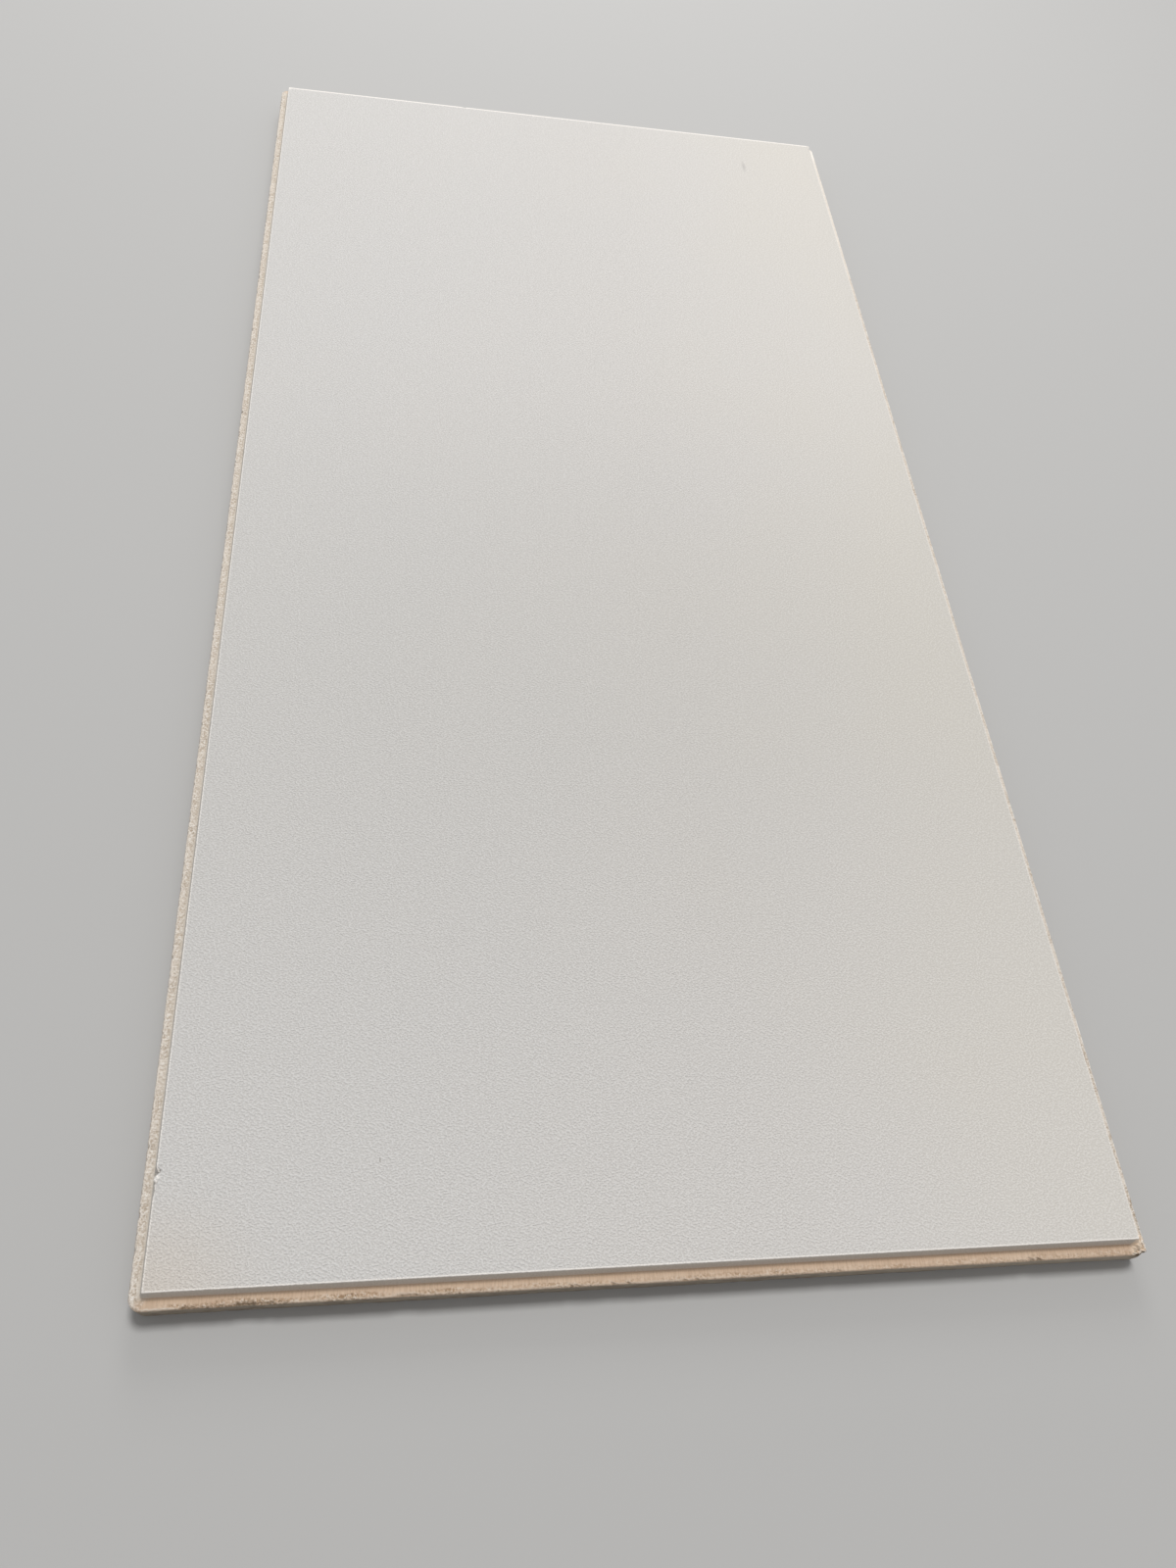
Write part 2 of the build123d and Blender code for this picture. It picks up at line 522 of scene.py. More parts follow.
def baking_map(blocks, looks, places, unrolled):
    """Where each corner of each face lies on a square sheet, in shares of it, for baking.

    The face and the back lie there as in plan, side by side. The edge is unrolled into four strips, one
    for each side of the tile: the long ones upright beside the back, and the short ones above.
    """
    sheet, gap, strip = 1295, 5, 45
    long, wide = LENGTH + 2 * gap, WIDTH + 2 * gap
    strip_corners = ((0, long), (2 * wide, 0), (wide, long), (2 * wide + strip + gap, 0))
    first_down = DOWN[1]
    starts = RIM_S[np.concatenate([[0], np.flatnonzero(np.diff(EDGE_OF_COLUMN)) + 1])]
    parts = []
    for faces, look in zip(blocks, looks):
        if look in (PAINT, BACK):
            flat = places[faces][..., :2] + np.array([WIDTH, LENGTH]) / 2
            parts.append((flat + np.array([0 if look == PAINT else wide, 0])).reshape(-1, 2))
            continue
        s, v = unrolled[faces][..., 0], unrolled[faces][..., 1] - first_down
        wraps = s.max(1, keepdims=True) - s.min(1, keepdims=True) > PERIMETER / 2
        s = s + PERIMETER * (wraps & (s < PERIMETER / 2))
        edge = np.searchsorted(starts, s.min(1), "right") - 1
        s = s - starts[edge][:, None]
        upright = (edge % 2 == 1)[:, None]
        corner = np.array(strip_corners)[edge]
        u = np.where(upright, v, s) + corner[:, :1]
        w = np.where(upright, s, v) + corner[:, 1:]
        parts.append(np.stack([u, w], -1).reshape(-1, 2))
    return (np.concatenate(parts) + gap) / sheet


def tile_mesh():
    """The surface as a mesh, with its looks, its sharp long edges, its traits and its map for baking."""
    places, unrolled, traits, loop_of_point, blocks, looks = tile_surface()
    mesh = bpy.data.meshes.new("ceiling_tile_board")
    mesh.from_pydata((places * MM).tolist(), [], [f for block in blocks for f in block.tolist()])
    look_of_face = np.repeat(looks, [len(block) for block in blocks])
    mesh.polygons.foreach_set("material_index", look_of_face.astype(np.int32))
    mesh.polygons.foreach_set("use_smooth", np.ones(len(mesh.polygons), bool))
    for name, values in traits.items():
        data = mesh.attributes.new(name, "FLOAT", "POINT").data
        data.foreach_set("value", values.astype(np.float32))

    sheet_places = baking_map(blocks, looks, places, unrolled)
    mesh.uv_layers.new(name="OFBake").data.foreach_set("uv", sheet_places.ravel())

    arris, wall, back = [RINGS + np.flatnonzero(ZONES == zone) for zone in ("arris", "wall", "back")]
    sharp_loops = (arris[0], arris[-1], wall[-1], back[0])
    ends = np.zeros(len(mesh.edges) * 2, np.int32)
    mesh.edges.foreach_get("vertices", ends)
    loop_of_end = loop_of_point[ends].reshape(-1, 2)
    sharp = (loop_of_end[:, 0] == loop_of_end[:, 1]) & np.isin(loop_of_end[:, 0], sharp_loops)
    mesh.attributes.new("sharp_edge", "BOOLEAN", "EDGE").data.foreach_set("value", sharp)
    mesh.update()
    return mesh


board_mesh = tile_mesh()
board = bpy.data.objects.new("ceiling_tile_board", board_mesh)
bpy.context.scene.collection.objects.link(board)


# Materials

def linear(code):
    """An sRGB hex colour as linear red, green, blue and alpha."""
    parts = [int(code[i:i + 2], 16) / 255 for i in (1, 3, 5)]
    return [c / 12.92 if c <= 0.04045 else ((c + 0.055) / 1.055) ** 2.4 for c in parts] + [1.0]


def per_mm(size):
    """The texture scale that gives features of this size in mm, on coordinates in metres."""
    return 1 / (size * MM)


def fill(tree, node, inputs):
    """Fills a node's inputs with values, or with links from other nodes or their outputs.

    An input goes by its number, or by its name among those in use. A node is linked by its first
    output in use.
    """
    for key, value in dict(inputs).items():
        if isinstance(key, int):
            socket = node.inputs[key]
        else:
            socket = next(s for s in node.inputs if s.name == key and s.enabled)
        if isinstance(value, bpy.types.Node):
            value = next(s for s in value.outputs if s.enabled)
        if isinstance(value, bpy.types.NodeSocket):
            tree.links.new(value, socket)
        else:
            socket.default_value = value


def add(tree, kind, inputs=(), **settings):
    """Adds a node with its settings, and fills its inputs.

    The setting ramp is a list of (place, colour) stops for a Color Ramp.
    """
    node = tree.nodes.new("ShaderNode" + kind)
    stops = settings.pop("ramp", ())
    for name, value in settings.items():
        setattr(node, name, value)
    for number, (place, colour) in enumerate(stops):
        elements = node.color_ramp.elements
        stop = elements[number] if number < 2 else elements.new(place)
        stop.position, stop.color = place, linear(colour)
    fill(tree, node, inputs)
    return node


def new_material(name):
    """A new material, its tree, its Principled shader joined to the output, and Object coordinates."""
    material = bpy.data.materials.new(name)
    material.use_nodes = True
    tree = material.node_tree
    tree.nodes.clear()
    shader = add(tree, "BsdfPrincipled", {"IOR": 1.5})
    add(tree, "OutputMaterial", {"Surface": shader})
    place = add(tree, "TexCoord").outputs["Object"]
    return material, tree, shader, place


# Marks on the painted face: middle and half sizes along X and Y in mm, share of them that is soft edge,
# and the colour that the paint is multiplied by. They are a broad darker patch across the middle that is
# a painted shade, a painted warm light on the near left corner, a scratch and a faint smudge.
FACE_MARKS = (
    ((80.0, -190.0), (1100.0, 440.0), 1.0, "#F6F6F5"),
    ((-292.0, -592.0), (85.0, 65.0), 1.0, "#FFF9F2"),
    ((-167.2, -525.6), (0.4, 1.6), 0.4, "#C7C4BF"),
    ((203.8, 533.0), (3.2, 15.0), 1.0, "#E8E8E9"),
)


def sanded_wall_paint():
    """Matt acrylic paint with fine sand in it, rolled on the face: a dry, even off-white with no shine,
    raised into short soft ridges about 2.3 mm apart, and thicker and whiter along the arris, where the
    whiter line is partly a painted highlight."""
    material, tree, shader, place = new_material("sanded_acrylic_paint")
    bead_and_highlight = add(tree, "Attribute", attribute_name="bead_and_highlight").outputs["Fac"]
    raw = add(tree, "Attribute", attribute_name="raw").outputs["Fac"]
    across = add(tree, "SeparateXYZ", {"Vector": place}).outputs["X"]
    turned = add(tree, "Mapping", {"Vector": place, "Rotation": (0.0, 0.0, math.radians(33)),
                                   "Scale": (0.82, 1.0, 1.0)})
    peel = add(tree, "TexNoise", {"Vector": turned, "Scale": per_mm(1.1), "Detail": 0.6},
               noise_dimensions="2D")
    sand = add(tree, "TexNoise", {"Vector": place, "Scale": per_mm(0.6), "Detail": 0},
               noise_dimensions="2D")

    # The tone drifts in clouds and grows warmer to the right, and the hollows of the relief are painted
    # greyer, a painted shade in them
    cloud = add(tree, "TexNoise", {"Vector": place, "Scale": per_mm(180), "Detail": 2})
    drift = add(tree, "MapRange", {"Value": across, "From Min": -200 * MM, "From Max": 320 * MM})
    aged = add(tree, "Mix", {"Factor": 0.6, "A": cloud, "B": drift}, data_type="FLOAT")
    tone = add(tree, "ValToRGB", {"Fac": aged},
               ramp=[(0.2, "#D7D5D2"), (0.5, "#D9D6D2"), (0.8, "#DAD6CF")])
    hollow = add(tree, "ValToRGB", {"Fac": peel}, ramp=[(0.46, "#F3F2F1"), (0.64, "#FFFFFF")])
    shade = add(tree, "Mix", {"Factor": 1.0, "A": tone, "B": hollow},
                data_type="RGBA", blend_type="MULTIPLY")
    # Each mark multiplies the colour inside an ellipse: the broad patch is painted shade, the near left
    # corner painted warm light
    for (x, y), (half_x, half_y), soft, colour in FACE_MARKS:
        spot = add(tree, "Mapping", {"Vector": place, "Location": (-x / half_x, -y / half_y, 0.0),
                                     "Scale": (per_mm(half_x), per_mm(half_y), 0.0)})
        away = add(tree, "VectorMath", {0: spot}, operation="LENGTH")
        mark = add(tree, "MapRange", {"Value": away, "From Min": 1.0, "From Max": 1.0 - soft},
                   interpolation_type="SMOOTHSTEP")
        shade = add(tree, "Mix", {"Factor": mark, "A": shade, "B": linear(colour)},
                    data_type="RGBA", blend_type="MULTIPLY")

    # Gathered paint breaks up into crumbs where it thins: bead + 14 bead (1 - bead) (crumb - 0.52).
    # Along the arris its white is partly a painted highlight.
    crumb = add(tree, "TexNoise", {"Vector": place, "Scale": per_mm(0.8), "Detail": 1})
    gaps = add(tree, "Math", {0: bead_and_highlight, 1: -1.0, 2: 1.0}, operation="MULTIPLY_ADD")
    swing = add(tree, "Math", {0: gaps, 1: bead_and_highlight}, operation="MULTIPLY")
    centred = add(tree, "Math", {0: crumb, 1: -0.52}, operation="ADD")
    broken = add(tree, "Math", {0: swing, 1: centred}, operation="MULTIPLY")
    white = add(tree, "Math", {0: broken, 1: 14.0, 2: bead_and_highlight}, operation="MULTIPLY_ADD", use_clamp=True)
    rimmed_and_highlighted = add(tree, "Mix", {"Factor": white, "A": shade, "B": linear("#F8F2EB")}, data_type="RGBA")
    bared = add(tree, "Mix", {"Factor": raw, "A": rimmed_and_highlighted, "B": linear("#A39683")}, data_type="RGBA")

    # The relief is lower towards the right and where paint has filled it
    relief = add(tree, "Math", {0: sand, 1: 0.3, 2: peel}, operation="MULTIPLY_ADD")
    level = add(tree, "Math", {0: relief, 1: -0.65}, operation="ADD")
    filled = add(tree, "Math", {0: bead_and_highlight, 1: -0.7, 2: 1.0}, operation="MULTIPLY_ADD")
    calmer = add(tree, "MapRange", {"Value": across, "From Min": 50 * MM, "From Max": 270 * MM,
                                    "To Min": 1.0, "To Max": 0.48})
    laid = add(tree, "Math", {0: level, 1: calmer}, operation="MULTIPLY")
    kept = add(tree, "Math", {0: laid, 1: filled}, operation="MULTIPLY")
    bump = add(tree, "Bump", {"Height": kept, "Strength": 1.0, "Distance": 0.62 * MM})
    fill(tree, shader, {"Base Color": bared, "Roughness": 0.88, "Normal": bump})
    return material


def edge_paint_on_wool():
    """The same paint thinned and sprayed on the milled edge: a dull beige that sinks into the wool,
    warmer on the short edges, partly by a painted warm light. It is closed and smooth near the wall, and
    torn near the lip, where brown wool shows in pits about 1 mm across and paint has gathered on the
    grains between them."""
    material, tree, shader, place = new_material("thin_edge_paint_on_milled_wool")
    raw = add(tree, "Attribute", attribute_name="raw").outputs["Fac"]
    torn = add(tree, "Attribute", attribute_name="torn").outputs["Fac"]
    bead_and_highlight = add(tree, "Attribute", attribute_name="bead_and_highlight").outputs["Fac"]
    loose = add(tree, "Attribute", attribute_name="loose").outputs["Fac"]
    split = add(tree, "SeparateXYZ", {"Vector": place}).outputs

    # The short edges' look meets the long edges' along a mitre at each corner
    aside = add(tree, "Math", {0: split["X"]}, operation="ABSOLUTE")
    endways = add(tree, "Math", {0: split["Y"]}, operation="ABSOLUTE")
    mitre = add(tree, "Math", {0: endways, 1: aside}, operation="SUBTRACT")
    corner = (LENGTH - WIDTH) / 2
    at_end = add(tree, "MapRange", {"Value": mitre, "From Min": (corner - 3.0) * MM,
                                    "From Max": (corner + 6.0) * MM})
    from_side = add(tree, "Math", {0: WIDTH / 2 * MM, 1: aside}, operation="SUBTRACT")
    from_end = add(tree, "Math", {0: LENGTH / 2 * MM, 1: endways}, operation="SUBTRACT")
    inset = add(tree, "Math", {0: from_side, 1: from_end}, operation="MINIMUM")

    # Grain of the wool: flecks, and a mottle that is finer along the long edges
    fleck = add(tree, "TexNoise", {"Vector": place, "Scale": per_mm(0.9), "Detail": 2})
    broad = add(tree, "TexNoise", {"Vector": place, "Scale": per_mm(25), "Detail": 3})
    fine = add(tree, "TexNoise", {"Vector": place, "Scale": per_mm(1.15), "Detail": 1.5})
    coarse = add(tree, "TexNoise", {"Vector": place, "Scale": per_mm(1.5), "Detail": 1.5})
    mottle = add(tree, "Mix", {"Factor": at_end, "A": fine, "B": coarse}, data_type="FLOAT")

    # The coat: one beige for the long edges, a warmer one for the short edges that is partly a painted
    # warm light, and a greyer wall. The foot of the wall is darkened, a painted shade where the wall
    # shades the ledge.
    outward = add(tree, "MapRange", {"Value": inset, "From Min": LEDGE * MM, "From Max": 1 * MM})
    long_paint = add(tree, "Mix", {"Factor": outward, "A": linear("#E0DAD1"), "B": linear("#DED4C8")},
                     data_type="RGBA")
    # The short edges' warmer beige is partly their paint and partly a painted warm light
    short_paint_and_warm_light = add(tree, "ValToRGB", {"Fac": broad}, ramp=[(0.35, "#D4BAA1"), (0.65, "#DBC3AB")])
    plain = add(tree, "Mix", {"Factor": at_end, "A": long_paint, "B": short_paint_and_warm_light}, data_type="RGBA")
    # Painted shade along the foot of the wall
    foot = add(tree, "MapRange", {"Value": inset, "From Min": 3.0 * MM, "From Max": 5.0 * MM},
               interpolation_type="SMOOTHSTEP")
    shaded_foot = add(tree, "Mix", {"Factor": foot, "A": plain, "B": linear("#F3F0EC")},
                 data_type="RGBA", blend_type="MULTIPLY")
    wall_paint = add(tree, "Mix", {"Factor": at_end, "A": linear("#D2CEC8"), "B": linear("#D2C8BD")},
                     data_type="RGBA")
    above = add(tree, "MapRange", {"Value": split["Z"], "From Min": (FLANGE + 0.3) * MM,
                                   "From Max": (FLANGE + 2.0) * MM})
    walled = add(tree, "Mix", {"Factor": above, "A": shaded_foot, "B": wall_paint}, data_type="RGBA")

    # Faint scores that the cutter left straight across each ledge, about 1 mm apart
    across_long = add(tree, "Mapping", {"Vector": place, "Scale": (0.12, 1.0, 1.0)})
    across_short = add(tree, "Mapping", {"Vector": place, "Scale": (1.0, 0.12, 1.0)})
    long_scores = add(tree, "TexNoise", {"Vector": across_long, "Scale": per_mm(1.0), "Detail": 1})
    short_scores = add(tree, "TexNoise", {"Vector": across_short, "Scale": per_mm(1.0), "Detail": 1})
    cutter = add(tree, "Mix", {"Factor": at_end, "A": long_scores, "B": short_scores}, data_type="FLOAT")
    scored = add(tree, "ValToRGB", {"Fac": cutter}, ramp=[(0.35, "#F1EFED"), (0.60, "#FFFFFF")])
    coat = add(tree, "Mix", {"Factor": 1.0, "A": walled, "B": scored},
               data_type="RGBA", blend_type="MULTIPLY")
    # The loose crumbs at the knocked off corner turn light peach: partly their own colour and partly a
    # painted highlight on their slope
    loosened_and_lit = add(tree, "Mix", {"Factor": loose, "A": coat, "B": linear("#F3DDC4")}, data_type="RGBA")

    # Grains with paint built up on them, where the ledge is torn or paint has gathered
    speck = add(tree, "ValToRGB", {"Fac": mottle},
                ramp=[(0.36, "#C3B5A3"), (0.50, "#F3EFEA"), (0.62, "#FFFFFF")])
    speckled = add(tree, "Mix", {"Factor": torn, "A": loosened_and_lit, "B": speck},
                   data_type="RGBA", blend_type="MULTIPLY")
    crest = add(tree, "MapRange", {"Value": mottle, "From Min": 0.54, "From Max": 0.66, "To Max": 0.75})
    raised = add(tree, "Math", {0: crest, 1: torn}, operation="MULTIPLY")
    built_up = add(tree, "Math", {0: raised, 1: bead_and_highlight}, operation="MAXIMUM")
    # The crests are warmer on the short edges, partly a painted warm light too
    fresh = add(tree, "Mix", {"Factor": at_end, "A": linear("#F2EDE5"), "B": linear("#E8DDCF")},
                data_type="RGBA")
    crested = add(tree, "Mix", {"Factor": built_up, "A": speckled, "B": fresh}, data_type="RGBA")

    # Pits that open as the ledge is more torn show the wool: dusty on the long edges, brown on the short
    closed = add(tree, "Math", {0: torn, 1: -0.24, 2: 0.24}, operation="MULTIPLY_ADD")
    shut = add(tree, "Math", {0: fleck, 1: closed}, operation="ADD")
    pit = add(tree, "MapRange", {"Value": shut, "From Min": 0.45, "From Max": 0.38, "To Max": 0.85})
    bare = add(tree, "Math", {0: pit, 1: raw}, operation="MAXIMUM")
    lit = add(tree, "Math", {0: raw, 1: -0.25, 2: fleck}, operation="MULTIPLY_ADD")
    dusty = add(tree, "ValToRGB", {"Fac": lit}, ramp=[(0.25, "#9C9184"), (0.60, "#CAC2B7")])
    brown = add(tree, "ValToRGB", {"Fac": lit},
                ramp=[(0.22, "#77634D"), (0.42, "#A08A70"), (0.60, "#BBA78E")])
    core = add(tree, "Mix", {"Factor": at_end, "A": dusty, "B": brown}, data_type="RGBA")
    cored = add(tree, "Mix", {"Factor": bare, "A": crested, "B": core}, data_type="RGBA")

    rough = add(tree, "Math", {0: torn, 1: raw}, operation="MAXIMUM")
    depth = add(tree, "Math", {0: rough, 1: 0.85, 2: 0.15}, operation="MULTIPLY_ADD")
    both = add(tree, "Math", {0: fleck, 1: mottle}, operation="ADD")
    level = add(tree, "Math", {0: both, 1: -1.0}, operation="ADD")
    relief = add(tree, "Math", {0: level, 1: depth}, operation="MULTIPLY")
    bump = add(tree, "Bump", {"Height": relief, "Strength": 1.0, "Distance": 0.7 * MM})
    fill(tree, shader, {"Base Color": cored, "Roughness": 0.92, "Normal": bump})
    return material


def milled_wool():
    """Stone wool board sawn to size and left bare on its side: dry grey-brown fibre in thin layers that
    run along the edge, with darker tears between them and a mist of edge paint just below the lip,
    lighter towards the right by a painted light."""
    material, tree, shader, place = new_material("milled_stone_wool")
    raw = add(tree, "Attribute", attribute_name="raw").outputs["Fac"]
    split = add(tree, "SeparateXYZ", {"Vector": place}).outputs
    flat = add(tree, "Mapping", {"Vector": place, "Scale": (0.2, 0.2, 1.0)})
    layers = add(tree, "TexNoise", {"Vector": flat, "Scale": per_mm(1.6), "Detail": 5, "Roughness": 0.6})
    fibre = add(tree, "TexNoise", {"Vector": place, "Scale": per_mm(0.9), "Detail": 3})
    body = add(tree, "ValToRGB", {"Fac": layers},
               ramp=[(0.28, "#665A4C"), (0.45, "#8C8072"), (0.62, "#A59987")])

    # The mist lies on the raised layers, and it grows lighter towards the right, where that is a painted
    # light on the side
    mist = add(tree, "MapRange", {"Value": split["Z"], "From Min": 12 * MM, "From Max": 20 * MM})
    painted_light_rightward = add(tree, "MapRange", {"Value": split["X"], "From Min": 50 * MM, "From Max": 250 * MM,
                                       "To Max": 0.45})
    patchy = add(tree, "Math", {0: mist, 1: layers, 2: painted_light_rightward},
                 operation="MULTIPLY_ADD", use_clamp=True)
    dusted_and_lit = add(tree, "Mix", {"Factor": patchy, "A": body, "B": linear("#C4B7A5")}, data_type="RGBA")
    bared = add(tree, "Mix", {"Factor": raw, "A": dusted_and_lit, "B": linear("#7B6850")}, data_type="RGBA")

    relief = add(tree, "Math", {0: fibre, 1: 0.5, 2: layers}, operation="MULTIPLY_ADD")
    bump = add(tree, "Bump", {"Height": relief, "Strength": 1.0, "Distance": 0.6 * MM})
    fill(tree, shader, {"Base Color": bared, "Roughness": 0.95, "Normal": bump})
    return material


# Runs of edge paint on the back, one kind a line: least and greatest half width in mm, least and
# greatest length in mm, how far the kind is moved along the edge, and how far a run may lie beside its
# cell's middle, both in shares of a cell
PAINT_RUNS = (
    ((7.0, 14.0), (45, 110), 0.0, 0.17),
    ((1.5, 4.0), (30, 130), 0.24, 0.18),
    ((1.0, 2.5), (20, 90), -0.2, 0.19),
)


def paint_run(tree, across, inward, side, streak, half_width, length, shift, beside):
    """Where one kind of paint run covers the back: 1 in the paint and 0 outside it.

    Runs start at a short edge, one in each 100 mm cell of it, at its own place, width and length. The
    cover is 1 - distance from the run's middle / its half width, less the 2.5th power of the share of
    its length gone inward, and streaks that grow inward split its end into fingers.
    """
    cell_size = 100
    moved = add(tree, "Math", {0: across, 1: per_mm(cell_size), 2: shift}, operation="MULTIPLY_ADD")
    cell = add(tree, "Math", {0: moved}, operation="ROUND")
    # Cells at the far edge draw other numbers than those at the near edge
    key = add(tree, "Math", {0: side, 1: 17.0, 2: cell}, operation="MULTIPLY_ADD")
    drawn = add(tree, "TexWhiteNoise", {"W": key}, noise_dimensions="1D").outputs["Color"]
    draws = add(tree, "SeparateXYZ", {"Vector": drawn}).outputs
    place = add(tree, "MapRange", {"Value": draws[0], "To Min": -0.16, "To Max": beside})
    half = add(tree, "MapRange", {"Value": draws[1], "To Min": half_width[0] / cell_size,
                                  "To Max": half_width[1] / cell_size})
    run = add(tree, "MapRange", {"Value": draws[2], "To Min": length[0] * MM, "To Max": length[1] * MM})

    offset = add(tree, "Math", {0: moved, 1: cell}, operation="SUBTRACT")
    aside = add(tree, "Math", {0: offset, 1: place}, operation="SUBTRACT")
    far = add(tree, "Math", {0: aside}, operation="ABSOLUTE")
    reach = add(tree, "Math", {0: far, 1: half}, operation="DIVIDE")
    middle = add(tree, "Math", {0: reach, 1: -1.0, 2: 1.0}, operation="MULTIPLY_ADD")
    share = add(tree, "Math", {0: inward, 1: run}, operation="DIVIDE")
    gone = add(tree, "Math", {0: share, 1: 2.5}, operation="POWER")
    centred = add(tree, "Math", {0: streak, 1: -0.5}, operation="ADD")
    split = add(tree, "Math", {0: gone, 1: 2.0}, operation="MULTIPLY", use_clamp=True)
    fingers = add(tree, "Math", {0: split, 1: 2.6, 2: 0.6}, operation="MULTIPLY_ADD")
    ragged = add(tree, "Math", {0: centred, 1: fingers, 2: middle}, operation="MULTIPLY_ADD")
    left = add(tree, "Math", {0: ragged, 1: gone}, operation="SUBTRACT")
    return add(tree, "MapRange", {"Value": left, "From Min": -0.02, "From Max": 0.05})


def wool_back():
    """The board's unpainted back: brown-grey wool combed lengthwise by the belt it was made on, with
    runs of off-white edge paint from the short edges, about 100 mm apart, and specks of it."""
    material, tree, shader, place = new_material("combed_wool_back")
    combed = add(tree, "Mapping", {"Vector": place, "Scale": (1.0, 0.045, 1.0)})
    comb = add(tree, "TexNoise", {"Vector": combed, "Scale": per_mm(1.3), "Detail": 4, "Roughness": 0.6})
    drawn_out = add(tree, "Mapping", {"Vector": place, "Scale": (1.0, 0.08, 1.0)})
    streak = add(tree, "TexNoise", {"Vector": drawn_out, "Scale": per_mm(3.5), "Detail": 3})
    broad = add(tree, "TexNoise", {"Vector": place, "Scale": per_mm(55), "Detail": 4})
    grain = add(tree, "TexNoise", {"Vector": place, "Scale": per_mm(1.4), "Detail": 3})
    body = add(tree, "ValToRGB", {"Fac": comb},
               ramp=[(0.30, "#63564A"), (0.50, "#837567"), (0.68, "#9A8D7E")])
    wash = add(tree, "ValToRGB", {"Fac": broad}, ramp=[(0.3, "#E9E6E2"), (0.7, "#FFFFFF")])
    wool = add(tree, "Mix", {"Factor": 1.0, "A": body, "B": wash},
               data_type="RGBA", blend_type="MULTIPLY")

    # A pale rubbed band 7.5 mm in from the right edge
    split = add(tree, "SeparateXYZ", {"Vector": place}).outputs
    from_band = add(tree, "Math", {0: split["X"], 1: -(WIDTH / 2 - 7.5) * MM}, operation="ADD")
    aside = add(tree, "Math", {0: from_band}, operation="ABSOLUTE")
    wavy = add(tree, "Math", {0: streak, 1: 6 * MM, 2: aside}, operation="MULTIPLY_ADD")
    rubbed = add(tree, "MapRange", {"Value": wavy, "From Min": 8.5 * MM, "From Max": 6.5 * MM,
                                    "To Max": 0.55})
    banded = add(tree, "Mix", {"Factor": rubbed, "A": wool, "B": linear("#BDB2A4")}, data_type="RGBA")

    # Specks of paint 1 to 2 mm across and the runs, both worn through on the high grain
    side = add(tree, "Math", {0: split["Y"]}, operation="SIGN")
    from_middle = add(tree, "Math", {0: split["Y"]}, operation="ABSOLUTE")
    inward = add(tree, "Math", {0: LENGTH / 2 * MM, 1: from_middle}, operation="SUBTRACT")
    drop = add(tree, "TexNoise", {"Vector": place, "Scale": per_mm(3.2), "Detail": 1})
    cover = add(tree, "MapRange", {"Value": drop, "From Min": 0.73, "From Max": 0.75})
    for kind in PAINT_RUNS:
        run = paint_run(tree, split["X"], inward, side, streak, *kind)
        cover = add(tree, "Math", {0: cover, 1: run}, operation="MAXIMUM")
    worn = add(tree, "MapRange", {"Value": grain, "From Min": 0.36, "From Max": 0.46})
    paint = add(tree, "Math", {0: cover, 1: worn}, operation="MULTIPLY")
    painted = add(tree, "Mix", {"Factor": paint, "A": banded, "B": linear("#D3CDC1")}, data_type="RGBA")

    relief = add(tree, "Math", {0: comb, 1: grain}, operation="ADD")
    bump = add(tree, "Bump", {"Height": relief, "Strength": 1.0, "Distance": 0.5 * MM})
    fill(tree, shader, {"Base Color": painted, "Roughness": 0.95, "Normal": bump})
    return material


for make in (sanded_wall_paint, edge_paint_on_wool, milled_wool, wool_back):
    board_mesh.materials.append(make())

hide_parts("ceiling_tile")
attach(board, "root")


# Studio

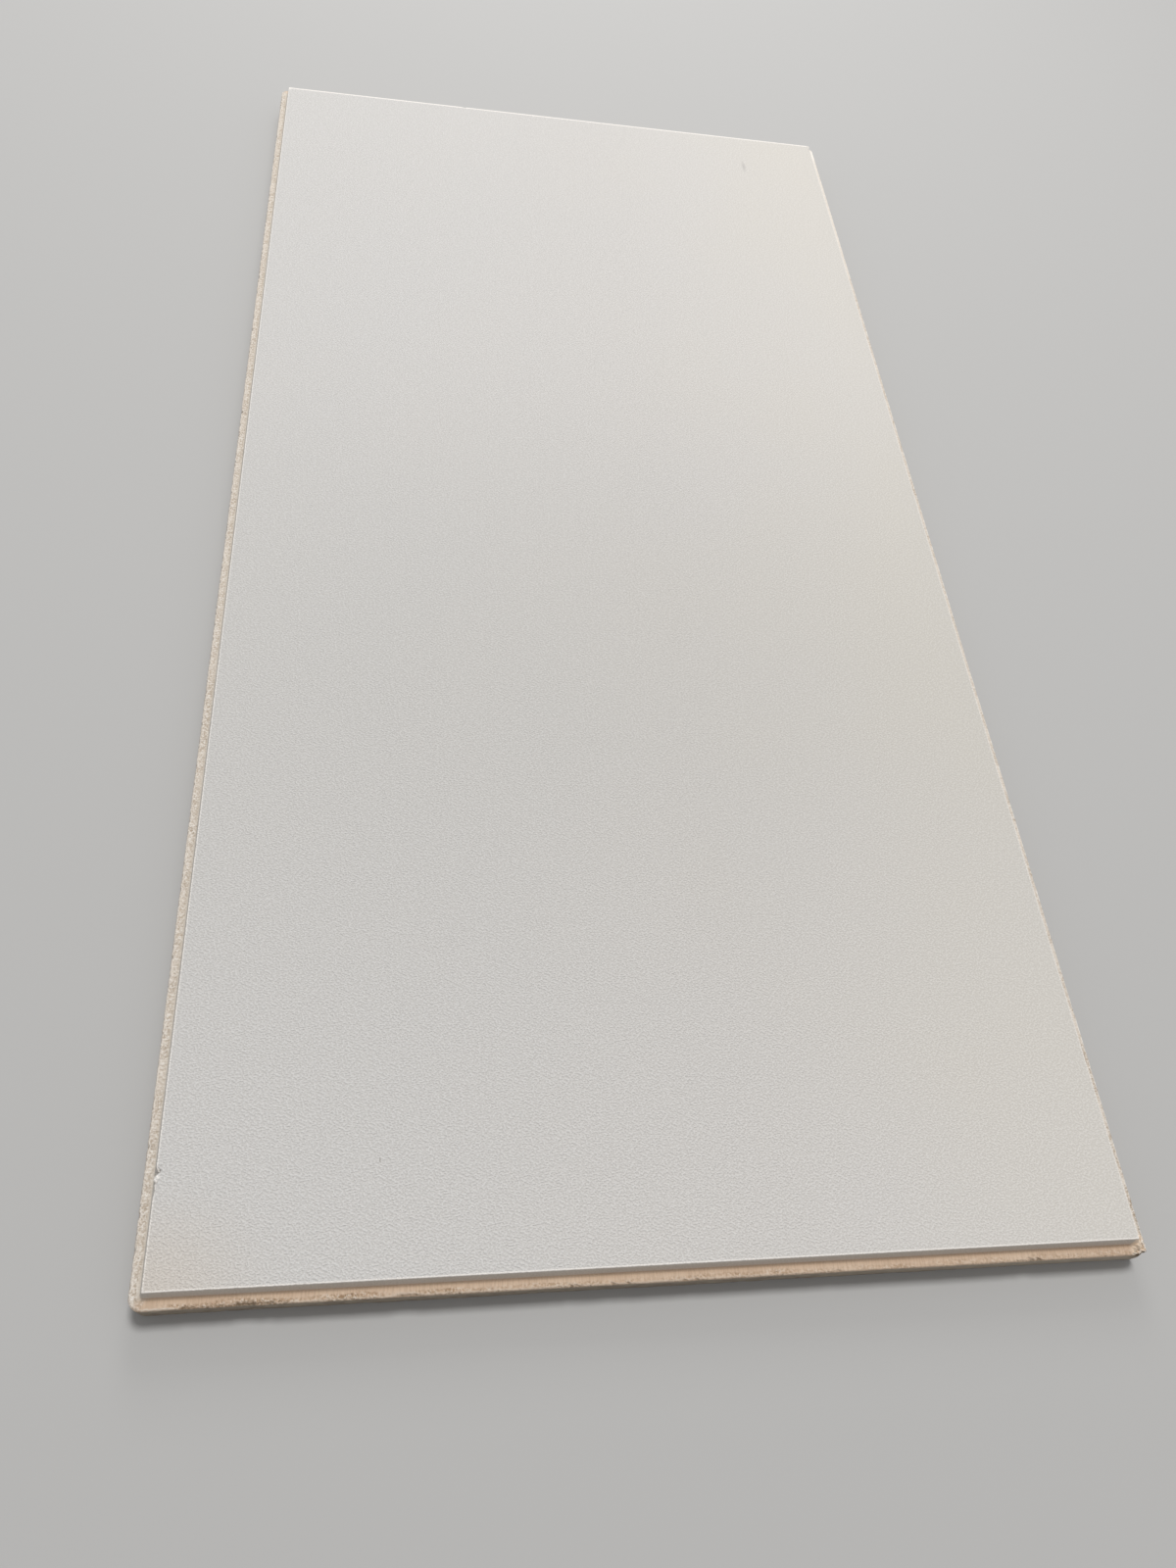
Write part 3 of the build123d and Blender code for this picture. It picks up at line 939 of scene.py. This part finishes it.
def pale_floor():
    """A wide round floor in plain pale grey, which keeps the tile's shadow. It is a ring of quads from a
    circle in to an opening that follows the tile's outline just inside it, so that light from below
    reaches the tile's back."""
    reach, inset = 9.0, 1.5
    opening = plan_loop(inset)[0][::4] * MM
    circle = reach * opening / np.linalg.norm(opening, axis=1, keepdims=True)
    flat = np.concatenate([circle, opening])
    places = np.column_stack([flat, np.zeros(len(flat))])
    segments = len(opening)
    outer = np.arange(segments)
    after = np.roll(outer, -1)
    quads = np.stack([outer, after, after + segments, outer + segments], 1)
    mesh = bpy.data.meshes.new("studio_floor")
    mesh.from_pydata(places.tolist(), [], quads.tolist())
    floor = bpy.data.objects.new("studio_floor", mesh)
    bpy.context.scene.collection.objects.link(floor)
    material, tree, shader, place = new_material("matt_pale_floor")
    fill(tree, shader, {"Base Color": linear("#BAB9B7"), "Roughness": 0.9})
    mesh.materials.append(material)


def soft_box(name, place, size, power):
    """A square area lamp of this size in metres and power in watts, turned to the tile's middle."""
    lamp = bpy.data.lights.new(name, "AREA")
    lamp.size, lamp.energy = size, power
    box = bpy.data.objects.new(name, lamp)
    box.location = place
    box.rotation_euler = (-box.location).to_track_quat("-Z", "Y").to_euler()
    bpy.context.scene.collection.objects.link(box)


def studio_world(strength):
    """Even pale light from all round. The camera itself sees a plain pale grey behind the floor."""
    world = bpy.data.worlds.new("studio")
    world.use_nodes = True
    tree = world.node_tree
    tree.nodes.clear()
    light = add(tree, "Background", {"Color": linear("#F6F6F7"), "Strength": strength})
    seen = add(tree, "Background", {"Color": linear("#C9C8C6"), "Strength": 1.0})
    to_camera = add(tree, "LightPath").outputs["Is Camera Ray"]
    both = add(tree, "MixShader", {0: to_camera, 1: light, 2: seen})
    add(tree, "OutputWorld", {"Surface": both})
    bpy.context.scene.world = world


def photo_camera():
    """The camera where the photograph was taken from, solved from the four corners of the face.

    The focal length in pixels is for an image 1600 high, which the 36 mm sensor spans.
    """
    focal_px, image_height, sensor_mm = 1148.8, 1600, 36
    data = bpy.data.cameras.new("photo_camera")
    data.sensor_width = sensor_mm
    data.lens = focal_px * sensor_mm / image_height
    data.clip_start, data.clip_end = 0.05, 50
    camera = bpy.data.objects.new("photo_camera", data)
    camera.location = (-0.15808, -0.68073, 0.67198 + THICKNESS * MM)
    camera.rotation_euler = Euler([math.radians(a) for a in (31.565, -8.475, -4.084)], "XYZ")
    bpy.context.scene.collection.objects.link(camera)
    bpy.context.scene.camera = camera


pale_floor()
soft_box("key_from_the_far_side", (0.35, 1.35, 5.9), 1.4, 212)
soft_box("fill_beyond_the_far_edge", (0.0, 1.9, 1.5), 1.0, 14)
studio_world(0.39)
photo_camera()
bpy.context.scene.view_settings.view_transform = "Standard"
